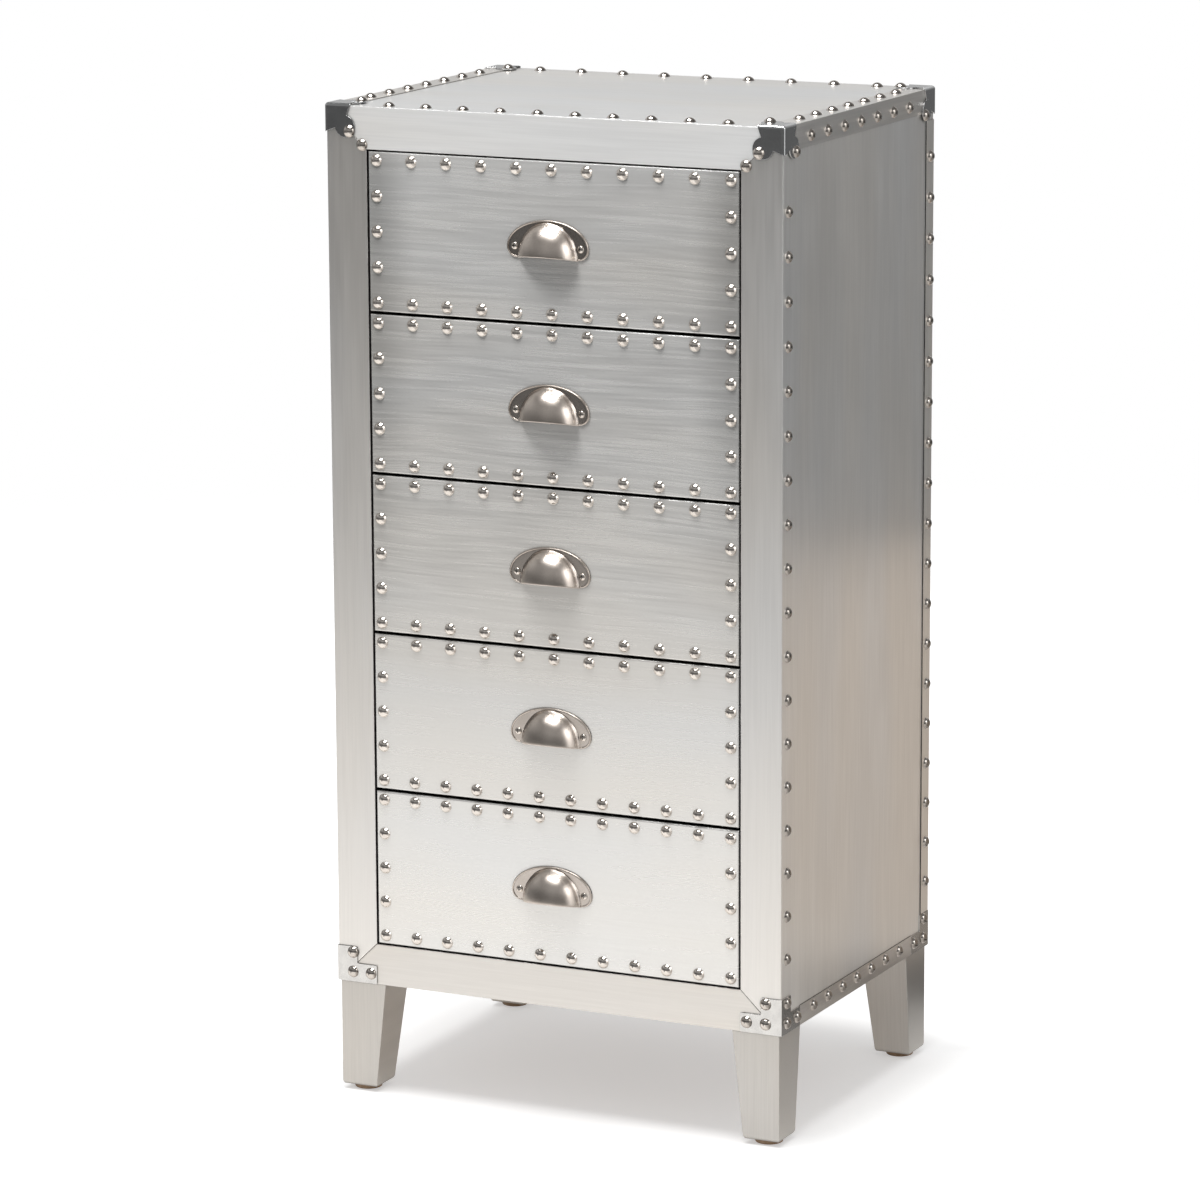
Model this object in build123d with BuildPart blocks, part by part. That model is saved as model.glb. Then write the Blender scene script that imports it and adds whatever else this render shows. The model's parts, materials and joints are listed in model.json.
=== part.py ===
from build123d import *
import os

# A tall five-drawer chest: a wooden carcass clad in aluminium sheet, edged with nailed trim.
# Sizes are in millimetres. +X is to the right, the front faces -Y and +Z is up.
# The origin is on the floor, under the middle of the whole object.

# Overall size, over the sheets and without trim, nails and pulls
chest_width = 440.0
chest_depth = 335.0
chest_height = 903.0

# Sheet metal
sheet = 0.8
trim = 0.8
cap_thickness = 1.4
bracket_thickness = 1.0

# Wooden carcass
panel = 16.0
back_board = 6.0
frame = 18.0
stile_width = 39.0
top_rail_height = 37.7
bottom_rail_height = 37.7
mitre_gap = 0.6

# Legs, their bolts and glides
leg_height = 99.0
leg_head = 45.4
leg_foot = 34.6
leg_side_inset = 1.8
leg_front_inset = 0.4
leg_round = 5.0
bolt_radius = 4.0
bolt_in_leg = 32.0
bolt_in_panel = 12.0
bolt_fit = 0.1
glide_height = 4.0
glide_radius = 12.5
glide_round = 1.0

# Edge trim
top_angle_width = 21.0
rear_angle_width = 17.0
bottom_strip_height = 18.0
trim_fold = 0.6
trim_gap = 0.4

# Top corner caps: two arms, a notch and a round ear on each face
cap_arm = 26.0
cap_notch_out = 22.0
cap_notch_in = 11.0
cap_ear = 20.5
cap_ear_radius = 9.6
cap_round = 3.0
cap_nail = 24.5

# Bottom corner brackets: an L on each of two faces
bracket_length = 40.0
bracket_height = 33.0
bracket_foot = 17.5
bracket_post = 20.0
bracket_corner = 1.2
bracket_nail_low = 9.3
bracket_nail_high = 27.5
bracket_nail_end = 6.0
bracket_nail_front = 14.6
bracket_nail_side = 10.7

# Drawers
drawer_count = 5
drawer_gap = 2.6
edge_gap = 1.5
side_gap = 1.8
front_board = 18.0
front_fold = 1.2
box_clear = 6.0
box_side = 14.0
box_back = 12.0
box_height = 105.0
box_rear_gap = 20.2
box_rise = 14.0
bottom_board = 6.0
bottom_rise = 10.0
bottom_let = 6.0
bottom_fit = 0.2

# Runners, which carry the drawers in grooves in their sides
runner_height = 14.0
runner_rise = 46.0
groove_depth = 8.0
runner_fit = 0.3
runner_tip_gap = 0.5
runner_stop_gap = 0.3

# Cup pulls and their screws
pull_shift = -3.0
pull_rise = 2.5
flange_half = 39.5
flange_height = 34.0
flange_shoulder = 9.8
flange_thickness = 1.2
rim_width = 1.4
rim_height = 2.0
cup_half = 28.0
cup_height = 31.4
cup_reach = 22.5
cup_wall = 1.5
cup_lip_rise = 0.21
screw_spacing = 64.0
screw_height = 10.2
screw_head_radius = 3.3
screw_head_height = 1.7
screw_radius = 1.6
screw_length = 13.0
screw_fit = 0.1
recess_length = 3.6
recess_width = 0.8
recess_depth = 0.9

# Domed nails
nail_radius = 5.5
nail_head = 3.8
shank_radius = 1.0
shank_length = 8.0
shank_point = 2.0

# Nail rows: how many, how far in from the edge, and how far the end nails are from the corner
drawer_nail_inset = 7.8
drawer_top_counts = [11, 11, 11, 11, 12]
drawer_bottom_counts = [11, 11, 11, 12, 12]
drawer_side_count = 3
top_nail_inset = 11.5
top_front_count = 10
top_front_end = 56.0
top_rear_count = 9
top_rear_end = 50.0
top_side_count = 7
top_side_end = 60.5
angle_nail_drop = 12.0
angle_count = 7
angle_end = 57.5
front_column_inset = 12.0
front_column_count = 18
front_column_low = 67.0
front_column_high = 73.0
rear_column_inset = 7.5
rear_column_count = 19
rear_column_low = 63.0
rear_column_high = 61.0
strip_nail_rise = 11.0
strip_count = 7
strip_end = 69.0
mitre_nail_in = 34.5
mitre_nail_drop = 34.0

# Where things are
half_width = chest_width / 2
core_x = half_width - sheet
panel_x = core_x - panel
body_z = glide_height + leg_height
core_top = chest_height - sheet
panel_top = core_top - panel
floor_top = body_z + panel

rear_reach = max(cap_thickness, bracket_thickness) + nail_head
front_y = (cup_reach - chest_depth - rear_reach) / 2
back_y = front_y + chest_depth
middle_y = front_y + chest_depth / 2
frame_y = front_y + sheet
inside_y = frame_y + frame
back_board_y = back_y - back_board

open_x = half_width - stile_width
open_low = body_z + bottom_rail_height
open_high = chest_height - top_rail_height

drawer_pitch = (open_high - open_low - 2 * edge_gap + drawer_gap) / drawer_count
front_height = drawer_pitch - drawer_gap
front_x = open_x - side_gap
board_y = front_y + sheet
box_y = board_y + front_board
box_x = open_x - box_clear
box_depth = back_board_y - box_rear_gap - box_y
box_end = box_y + box_depth
runner_x = box_x - groove_depth + runner_tip_gap

across = Plane.YZ
along = Plane.XZ.offset(-middle_y)
ends = ((-1, front_y), (1, back_y))

os.makedirs("parts", exist_ok=True)


def save(piece, name):
    piece.label = name
    export_step(piece, f"parts/{name}.step")


def slab(x, y, z, mode=Mode.ADD):
    # A block between the two ends of each span
    with Locations((x[0], y[0], z[0])):
        Box(x[1] - x[0], y[1] - y[0], z[1] - z[0], align=Align.MIN, mode=mode)


def flip(span):
    return (-span[1], -span[0])


def row(first, last, count):
    step = (last - first) / (count - 1)
    return [first + step * i for i in range(count)]


# Wooden carcass panels
with BuildPart() as right_side_panel:
    slab((panel_x, core_x), (inside_y, back_y), (body_z, panel_top))
save(right_side_panel.part, "right_side_panel")

with BuildPart() as left_side_panel:
    mirror(right_side_panel.part, about=across)
save(left_side_panel.part, "left_side_panel")

with BuildPart() as top_panel:
    slab((-core_x, core_x), (inside_y, back_y), (panel_top, core_top))
save(top_panel.part, "top_panel")

with BuildPart() as back_panel:
    slab((-panel_x, panel_x), (back_board_y, back_y), (body_z, panel_top))
save(back_panel.part, "back_panel")

# Legs stand upright on their outer faces and taper on their inner faces
leg_head_x = half_width - leg_side_inset - leg_head / 2
leg_head_y = front_y + leg_front_inset + leg_head / 2
leg_foot_x = half_width - leg_side_inset - leg_foot / 2
leg_foot_y = front_y + leg_front_inset + leg_foot / 2
leg_rear_y = 2 * middle_y - leg_head_y
bolt_places = [(x, y) for x in (-leg_head_x, leg_head_x) for y in (leg_head_y, leg_rear_y)]

with BuildPart() as bottom_panel:
    slab((-panel_x, panel_x), (inside_y, back_board_y), (body_z, floor_top))
    with Locations(*[(x, y, body_z) for x, y in bolt_places]):
        Cylinder(bolt_radius + bolt_fit, 2 * (bolt_in_panel + bolt_fit), mode=Mode.SUBTRACT)
save(bottom_panel.part, "bottom_panel")

# Front frame: stiles full height, rails between them, with room for the folded sheet
with BuildPart() as front_stiles:
    stile_span = (open_x + sheet, core_x)
    for span in (stile_span, flip(stile_span)):
        slab(span, (frame_y, inside_y), (body_z, core_top))
save(front_stiles.part, "front_stiles")

with BuildPart() as front_rails:
    rail_span = (-open_x - sheet, open_x + sheet)
    slab(rail_span, (frame_y, inside_y), (open_high + sheet, core_top))
    slab(rail_span, (frame_y, inside_y), (body_z, open_low - sheet))
save(front_rails.part, "front_rails")

# Frame sheets: mitred faces, each with a fold that lines the drawer opening
sheet_face = Plane.XZ.offset(-frame_y)

with BuildPart() as right_stile_sheet:
    with BuildSketch(sheet_face):
        Polygon(
            (half_width, body_z + mitre_gap),
            (half_width, chest_height - mitre_gap),
            (open_x, open_high - mitre_gap),
            (open_x, open_low + mitre_gap),
            align=None,
        )
    extrude(amount=sheet)
    slab((open_x, open_x + sheet), (frame_y, inside_y), (open_low - sheet, open_high + sheet))
save(right_stile_sheet.part, "right_stile_sheet")

with BuildPart() as left_stile_sheet:
    mirror(right_stile_sheet.part, about=across)
save(left_stile_sheet.part, "left_stile_sheet")

with BuildPart() as top_rail_sheet:
    with BuildSketch(sheet_face):
        Polygon(
            (-half_width, chest_height),
            (-open_x, open_high),
            (open_x, open_high),
            (half_width, chest_height),
            align=None,
        )
    extrude(amount=sheet)
    slab((-open_x, open_x), (frame_y, inside_y), (open_high, open_high + sheet))
save(top_rail_sheet.part, "top_rail_sheet")

with BuildPart() as bottom_rail_sheet:
    with BuildSketch(sheet_face):
        Polygon(
            (-half_width, body_z),
            (half_width, body_z),
            (open_x, open_low),
            (-open_x, open_low),
            align=None,
        )
    extrude(amount=sheet)
    slab((-open_x, open_x), (frame_y, inside_y), (open_low - sheet, open_low))
save(bottom_rail_sheet.part, "bottom_rail_sheet")

# Sheets on the top and sides
with BuildPart() as top_sheet:
    slab((-half_width, half_width), (frame_y, back_y), (core_top, chest_height))
save(top_sheet.part, "top_sheet")

with BuildPart() as right_side_sheet:
    slab((core_x, half_width), (frame_y, back_y), (body_z, core_top))
save(right_side_sheet.part, "right_side_sheet")

with BuildPart() as left_side_sheet:
    mirror(right_side_sheet.part, about=across)
save(left_side_sheet.part, "left_side_sheet")

# Angles folded over the top edges, running from front to back
trim_x = half_width + trim

with BuildPart() as top_edge_angles:
    slab((half_width - top_angle_width, trim_x), (front_y, back_y), (chest_height, chest_height + trim))
    slab((half_width, trim_x), (front_y, back_y), (chest_height - top_angle_width, chest_height + trim))
    fillet(top_edge_angles.edges().filter_by(Axis.Y).group_by(Axis.X)[-1].sort_by(Axis.Z)[-1], trim_fold)
    mirror(about=across)
save(top_edge_angles.part, "top_edge_angles")

# Angles round the rear edges, between the brackets and the caps
cap_x = half_width + trim + cap_thickness
cap_z = chest_height + trim + cap_thickness
cap_size = cap_ear + cap_ear_radius
rear_angle_z = (body_z + bracket_height + trim_gap, cap_z - cap_size - trim_gap)

with BuildPart() as rear_edge_angles:
    slab((half_width, trim_x), (back_y - rear_angle_width, back_y + trim), rear_angle_z)
    slab((half_width - rear_angle_width, trim_x), (back_y, back_y + trim), rear_angle_z)
    fillet(rear_edge_angles.edges().filter_by(Axis.Z).group_by(Axis.X)[-1].sort_by(Axis.Y)[-1], trim_fold)
    mirror(about=across)
save(rear_edge_angles.part, "rear_edge_angles")

# Strips along the bottom edges, between the brackets
bracket_reach = bracket_length - bracket_thickness
strip_y = (front_y + bracket_reach + trim_gap, back_y - bracket_reach - trim_gap)

with BuildPart() as bottom_edge_strips:
    strip_span = (half_width, trim_x)
    for span in (strip_span, flip(strip_span)):
        slab(span, strip_y, (body_z, body_z + bottom_strip_height))
save(bottom_edge_strips.part, "bottom_edge_strips")

# Top corner caps: the front right one has three faces that meet at its outer corner
cap_corner = (cap_x, front_y - cap_thickness, cap_z)
cap_faces = (
    Plane(origin=cap_corner, x_dir=(-1, 0, 0), z_dir=(0, 0, -1)),
    Plane(origin=cap_corner, x_dir=(0, 1, 0), z_dir=(-1, 0, 0)),
    Plane(origin=cap_corner, x_dir=(0, 0, -1), z_dir=(0, 1, 0)),
)

with BuildPart() as cap_envelope:
    slab((cap_x - cap_size, cap_x), (cap_corner[1], cap_corner[1] + cap_size), (cap_z - cap_size, cap_z))
    fillet(cap_envelope.edges().sort_by_distance(cap_corner)[:3], cap_round)

with BuildPart() as top_corner_caps:
    for face in cap_faces:
        with BuildSketch(face):
            Polygon(
                (0, 0),
                (cap_arm, 0),
                (cap_notch_out, cap_notch_in),
                (cap_ear, cap_ear),
                (cap_notch_in, cap_notch_out),
                (0, cap_arm),
                align=None,
            )
            with Locations((cap_ear, cap_ear)):
                Circle(cap_ear_radius)
        extrude(amount=cap_thickness)
    add(cap_envelope.part, mode=Mode.INTERSECT)
    mirror(about=across)
    mirror(about=along)
save(top_corner_caps.part, "top_corner_caps")

# Bottom corner brackets: the front right one is an L on the front and an L on the side
bracket_x = half_width + bracket_thickness
bracket_point = (bracket_x, front_y - bracket_thickness, body_z)
bracket_faces = (
    (Plane(origin=bracket_point, x_dir=(-1, 0, 0), z_dir=(0, 1, 0)), 1),
    (Plane(origin=bracket_point, x_dir=(0, 1, 0), z_dir=(1, 0, 0)), -1),
)

with BuildPart() as bottom_corner_brackets:
    for face, inward in bracket_faces:
        with BuildSketch(face) as bracket_face:
            Polygon(
                (0, 0),
                (bracket_length, 0),
                (bracket_length, bracket_foot),
                (bracket_post, bracket_foot),
                (bracket_post, bracket_height),
                (0, bracket_height),
                align=None,
            )
            fillet(bracket_face.vertices().filter_by(lambda corner: corner.X > 0), bracket_corner)
        extrude(amount=inward * bracket_thickness)
    mirror(about=across)
    mirror(about=along)
save(bottom_corner_brackets.part, "bottom_corner_brackets")


def leg_block(low_z, wall):
    # A tapered square leg, rounded underneath, with its walls this far in from the sheet's face
    with BuildPart() as block:
        with BuildSketch(Plane.XY.offset(low_z)):
            with Locations((leg_foot_x, leg_foot_y)):
                Rectangle(leg_foot - 2 * wall, leg_foot - 2 * wall)
        with BuildSketch(Plane.XY.offset(body_z)):
            with Locations((leg_head_x, leg_head_y)):
                Rectangle(leg_head - 2 * wall, leg_head - 2 * wall)
        loft()
        fillet(block.faces().sort_by(Axis.Z)[0].edges(), leg_round - wall)
    return block.part


leg_wood = leg_block(glide_height, sheet)
leg_skin = leg_block(glide_height - sheet, 0)

with BuildPart() as leg_cores:
    add(leg_wood)
    with Locations((leg_head_x, leg_head_y, body_z)):
        Cylinder(bolt_radius + bolt_fit, 2 * (bolt_in_leg + bolt_fit), mode=Mode.SUBTRACT)
    mirror(about=across)
    mirror(about=along)
save(leg_cores.part, "leg_cores")

# The sheet turns under the wood and stops, so a wooden edge shows below it
with BuildPart() as leg_sheets:
    add(leg_skin)
    add(leg_wood, mode=Mode.SUBTRACT)
    slab((0, half_width), (front_y, middle_y), (0, glide_height + sheet), mode=Mode.SUBTRACT)
    mirror(about=across)
    mirror(about=along)
save(leg_sheets.part, "leg_sheets")

with BuildPart() as leg_bolts:
    bolt_length = bolt_in_leg + bolt_in_panel
    with Locations(*[(x, y, body_z - bolt_in_leg) for x, y in bolt_places]):
        Cylinder(bolt_radius, bolt_length, align=(Align.CENTER, Align.CENTER, Align.MIN))
save(leg_bolts.part, "leg_bolts")

with BuildPart() as foot_glides:
    with Locations((leg_foot_x, leg_foot_y, 0)):
        Cylinder(glide_radius, glide_height, align=(Align.CENTER, Align.CENTER, Align.MIN))
    fillet(foot_glides.faces().sort_by(Axis.Z)[0].edges(), glide_round)
    mirror(about=across)
    mirror(about=along)
save(foot_glides.part, "foot_glides")

# A nail stands on the plane z = 0: a dome above, a pointed shank below
with BuildPart() as nail:
    with BuildSketch(Plane.XZ):
        with BuildLine():
            Polyline(
                (0, nail_head),
                (0, -shank_length),
                (shank_radius, shank_point - shank_length),
                (shank_radius, 0),
                (nail_radius, 0),
            )
            TangentArc((0, nail_head), (nail_radius, 0), tangent=(1, 0))
        make_face()
    revolve(axis=Axis.Z)


def drawer_low(number):
    # The lower edge of a drawer front, counted from 1 at the top
    return open_low + edge_gap + (drawer_count - number) * drawer_pitch


# Runners on the side panels, a pair for each drawer
with BuildPart() as drawer_runners:
    runner_span = (runner_x, panel_x)
    runner_y = (inside_y + runner_stop_gap, back_board_y)
    for number in range(1, drawer_count + 1):
        runner_low = drawer_low(number) + box_rise + runner_rise
        for span in (runner_span, flip(runner_span)):
            slab(span, runner_y, (runner_low, runner_low + runner_height))
save(drawer_runners.part, "drawer_runners")

# Carcass nails, each standing on the sheet, trim, cap or bracket under its head
nail_places = []

top_rows = (
    (front_y + top_nail_inset, top_front_count, top_front_end),
    (back_y - top_nail_inset, top_rear_count, top_rear_end),
)
for y, count, end in top_rows:
    for x in row(end - half_width, half_width - end, count):
        nail_places.append(((x, y, chest_height), (0, 0, 1)))

for side in (-1, 1):
    for y in row(front_y + top_side_end, back_y - top_side_end, top_side_count):
        nail_places.append(((side * (half_width - top_nail_inset), y, chest_height + trim), (0, 0, 1)))
    for y in row(front_y + angle_end, back_y - angle_end, angle_count):
        nail_places.append(((side * trim_x, y, chest_height - angle_nail_drop), (side, 0, 0)))
    for z in row(body_z + front_column_low, chest_height - front_column_high, front_column_count):
        nail_places.append(((side * half_width, front_y + front_column_inset, z), (side, 0, 0)))
    for z in row(body_z + rear_column_low, chest_height - rear_column_high, rear_column_count):
        nail_places.append(((side * trim_x, back_y - rear_column_inset, z), (side, 0, 0)))
    for y in row(front_y + strip_end, back_y - strip_end, strip_count):
        nail_places.append(((side * trim_x, y, body_z + strip_nail_rise), (side, 0, 0)))
    mitre = (side * (half_width - mitre_nail_in), front_y, chest_height - mitre_nail_drop)
    nail_places.append((mitre, (0, -1, 0)))

    for end, end_y in ends:
        cap_y = end_y + end * cap_thickness
        ear_x = side * (cap_x - cap_nail)
        ear_y = cap_y - end * cap_nail
        ear_z = cap_z - cap_nail
        nail_places.append(((ear_x, ear_y, cap_z), (0, 0, 1)))
        nail_places.append(((side * cap_x, ear_y, ear_z), (side, 0, 0)))
        nail_places.append(((ear_x, cap_y, ear_z), (0, end, 0)))

        bracket_y = end_y + end * bracket_thickness
        far = bracket_reach - bracket_nail_end
        low_z = body_z + bracket_nail_low
        high_z = body_z + bracket_nail_high
        for near, z in ((bracket_nail_front, low_z), (bracket_nail_front, high_z), (far, low_z)):
            nail_places.append(((side * (half_width - near), bracket_y, z), (0, end, 0)))
        for near, z in ((bracket_nail_side, low_z), (bracket_nail_side, high_z), (far, low_z)):
            nail_places.append(((side * bracket_x, end_y - end * near, z), (side, 0, 0)))

with BuildPart() as carcass_nails:
    with Locations(*[Plane(origin=place, z_dir=out) for place, out in nail_places]):
        add(nail.part)
save(carcass_nails.part, "carcass_nails")


def flange_outline(inset):
    # Flat below, round at the lower corners and a half ellipse above
    half = flange_half - inset
    shoulder = flange_shoulder - inset
    with BuildSketch(Plane.XZ) as outline:
        with BuildLine():
            arch = flange_height - inset - flange_shoulder
            EllipticalCenterArc((0, flange_shoulder), half, arch, 0, arc_size=180)
            CenterArc((shoulder - half, flange_shoulder), shoulder, 180, 90)
            Line((shoulder - half, inset), (half - shoulder, inset))
            CenterArc((half - shoulder, flange_shoulder), shoulder, 270, 90)
        make_face()
    return outline.sketch


# A cup pull with its back on the plane y = 0 and its lower edge at z = 0
screw_places = [(side * screw_spacing / 2, screw_height) for side in (-1, 1)]

with BuildPart() as unit_ball:
    Sphere(1)

with BuildPart() as cup_pull:
    scale(unit_ball.part, by=(cup_half, cup_reach, cup_height), mode=Mode.ADD)
    split(bisect_by=Plane.XZ, keep=Keep.TOP)
    split(bisect_by=Plane(origin=(0, 0, 0), z_dir=(0, cup_lip_rise, 1)), keep=Keep.TOP)
    with BuildSketch(Plane.XZ):
        add(flange_outline(0))
    extrude(amount=flange_thickness)
    with BuildSketch(Plane.XZ):
        add(flange_outline(0))
        add(flange_outline(rim_width), mode=Mode.SUBTRACT)
    extrude(amount=rim_height)
    inner_size = (cup_half - cup_wall, cup_reach - cup_wall, cup_height - cup_wall)
    scale(unit_ball.part, by=inner_size, mode=Mode.SUBTRACT)
    with Locations(*[Plane(origin=(x, -flange_thickness, z), z_dir=(0, -1, 0)) for x, z in screw_places]):
        Hole(screw_radius + screw_fit, depth=flange_thickness)

# A pan-head screw with a cross recess, standing on the plane z = 0
with BuildPart() as pull_screw:
    with BuildSketch(Plane.XZ):
        with BuildLine():
            Polyline((0, screw_head_height), (0, -screw_length), (screw_radius, -screw_length))
            Polyline((screw_radius, -screw_length), (screw_radius, 0), (screw_head_radius, 0))
            EllipticalCenterArc((0, 0), screw_head_radius, screw_head_height, 0, arc_size=90)
        make_face()
    revolve(axis=Axis.Z)
    with Locations((0, 0, screw_head_height)):
        Box(recess_length, recess_width, 2 * recess_depth, mode=Mode.SUBTRACT)
        Box(recess_width, recess_length, 2 * recess_depth, mode=Mode.SUBTRACT)


def make_drawer(number):
    name = f"drawer_{number}"
    low = drawer_low(number)
    high = low + front_height
    pull_z = (low + high) / 2 + pull_rise - flange_height / 2
    holes = [(pull_shift + x, pull_z + z) for x, z in screw_places]
    hole_planes = [Plane(origin=(x, front_y, z), z_dir=(0, -1, 0)) for x, z in holes]
    hole_depth = screw_length - flange_thickness + screw_fit

    # The front is a sheet tray folded round a board
    core_span = (sheet - front_x, front_x - sheet)
    core_z = (low + sheet, high - sheet)
    with BuildPart() as front_sheet:
        slab((-front_x, front_x), (front_y, box_y), (low, high))
        fillet(front_sheet.faces().sort_by(Axis.Y)[0].edges(), front_fold)
        slab(core_span, (board_y, box_y), core_z, mode=Mode.SUBTRACT)
        with Locations(*hole_planes):
            Hole(screw_radius + screw_fit, depth=sheet)
    save(front_sheet.part, f"{name}_front_sheet")

    side_low = low + box_rise
    side_high = side_low + box_height
    bottom_low = side_low + bottom_rise
    bottom_high = bottom_low + bottom_board
    bottom_groove = (bottom_low - bottom_fit, bottom_high + bottom_fit)
    inner_x = box_x - box_side
    let_x = inner_x + bottom_let
    with BuildPart() as front_core:
        slab(core_span, (board_y, box_y), core_z)
        slab((-let_x, let_x), (box_y - bottom_let, box_y), bottom_groove, mode=Mode.SUBTRACT)
        with Locations(*hole_planes):
            Hole(screw_radius + screw_fit, depth=hole_depth)
    save(front_core.part, f"{name}_front")

    # Each side has a runner groove outside and a groove for the bottom inside
    runner_low = side_low + runner_rise
    runner_groove = (runner_low - runner_fit, runner_low + runner_height + runner_fit)
    with BuildPart() as right_side:
        slab((inner_x, box_x), (box_y, box_end), (side_low, side_high))
        slab((box_x - groove_depth, box_x), (box_y, box_end), runner_groove, mode=Mode.SUBTRACT)
        slab((inner_x, let_x), (box_y, box_end), bottom_groove, mode=Mode.SUBTRACT)
    with BuildPart() as left_side:
        mirror(right_side.part, about=across)
    with BuildPart() as back:
        slab((-inner_x, inner_x), (box_end - box_back, box_end), (bottom_high, side_high))
    save(Compound([right_side.part.solid(), left_side.part.solid(), back.part.solid()]), f"{name}_box")

    edge_x = let_x - bottom_fit
    with BuildPart() as bottom:
        slab((-edge_x, edge_x), (box_y - bottom_let + bottom_fit, box_end), (bottom_low, bottom_high))
    save(bottom.part, f"{name}_bottom")

    with BuildPart() as pull:
        with Locations((pull_shift, front_y, pull_z)):
            add(cup_pull.part)
    save(pull.part, f"{name}_pull")

    seat_y = front_y - flange_thickness
    with BuildPart() as screws:
        with Locations(*[Plane(origin=(x, seat_y, z), z_dir=(0, -1, 0)) for x, z in holes]):
            add(pull_screw.part)
    save(screws.part, f"{name}_pull_screws")

    edge = front_x - drawer_nail_inset
    bottom_row = low + drawer_nail_inset
    top_row = high - drawer_nail_inset
    spots = [(x, top_row) for x in row(-edge, edge, drawer_top_counts[number - 1])]
    spots += [(x, bottom_row) for x in row(-edge, edge, drawer_bottom_counts[number - 1])]
    for z in row(bottom_row, top_row, drawer_side_count + 2)[1:-1]:
        spots += [(-edge, z), (edge, z)]
    with BuildPart() as nails:
        with Locations(*[Plane(origin=(x, front_y, z), z_dir=(0, -1, 0)) for x, z in spots]):
            add(nail.part)
    save(nails.part, f"{name}_nails")


for number in range(1, drawer_count + 1):
    make_drawer(number)
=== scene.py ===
import json
from math import cos, pi, radians, sin

import bmesh
import bpy
import numpy as np
from mathutils import Matrix, Vector

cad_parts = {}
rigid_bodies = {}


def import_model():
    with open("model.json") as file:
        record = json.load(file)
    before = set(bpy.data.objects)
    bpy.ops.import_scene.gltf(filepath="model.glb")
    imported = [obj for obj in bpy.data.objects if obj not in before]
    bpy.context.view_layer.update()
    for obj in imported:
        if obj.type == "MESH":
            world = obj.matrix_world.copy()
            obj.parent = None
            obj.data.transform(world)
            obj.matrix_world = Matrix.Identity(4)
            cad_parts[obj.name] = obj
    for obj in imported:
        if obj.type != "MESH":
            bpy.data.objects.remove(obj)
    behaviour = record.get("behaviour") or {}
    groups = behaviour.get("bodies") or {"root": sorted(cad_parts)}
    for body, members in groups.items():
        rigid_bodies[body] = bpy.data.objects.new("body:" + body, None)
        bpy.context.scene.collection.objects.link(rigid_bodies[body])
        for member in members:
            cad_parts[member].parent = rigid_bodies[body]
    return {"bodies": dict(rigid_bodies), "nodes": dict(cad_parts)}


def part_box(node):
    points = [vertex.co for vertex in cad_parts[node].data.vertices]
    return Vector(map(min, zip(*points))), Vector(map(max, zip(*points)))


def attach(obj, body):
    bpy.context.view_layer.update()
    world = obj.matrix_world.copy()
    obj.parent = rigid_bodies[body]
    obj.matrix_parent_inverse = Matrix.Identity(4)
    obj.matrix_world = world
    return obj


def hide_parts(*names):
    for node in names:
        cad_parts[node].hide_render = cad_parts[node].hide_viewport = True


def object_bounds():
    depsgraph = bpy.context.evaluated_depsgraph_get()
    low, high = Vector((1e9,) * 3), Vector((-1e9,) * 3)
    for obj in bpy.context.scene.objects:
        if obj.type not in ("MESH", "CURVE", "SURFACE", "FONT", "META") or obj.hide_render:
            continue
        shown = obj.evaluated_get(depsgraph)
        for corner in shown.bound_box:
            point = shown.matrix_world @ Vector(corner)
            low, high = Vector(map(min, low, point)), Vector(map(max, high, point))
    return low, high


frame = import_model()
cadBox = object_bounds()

scene = bpy.context.scene
nodes = frame["nodes"]
drawerCount = sum(name.startswith("drawer_") for name in frame["bodies"])
mm = 0.001
white = (1.0, 1.0, 1.0)
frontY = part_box("right_stile_sheet")[0].y  # face of the front frame
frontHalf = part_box("drawer_1_front_sheet")[1].x  # half the width of a drawer front
print("frame loaded:", len(nodes), "nodes,", drawerCount, "drawers")


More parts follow.
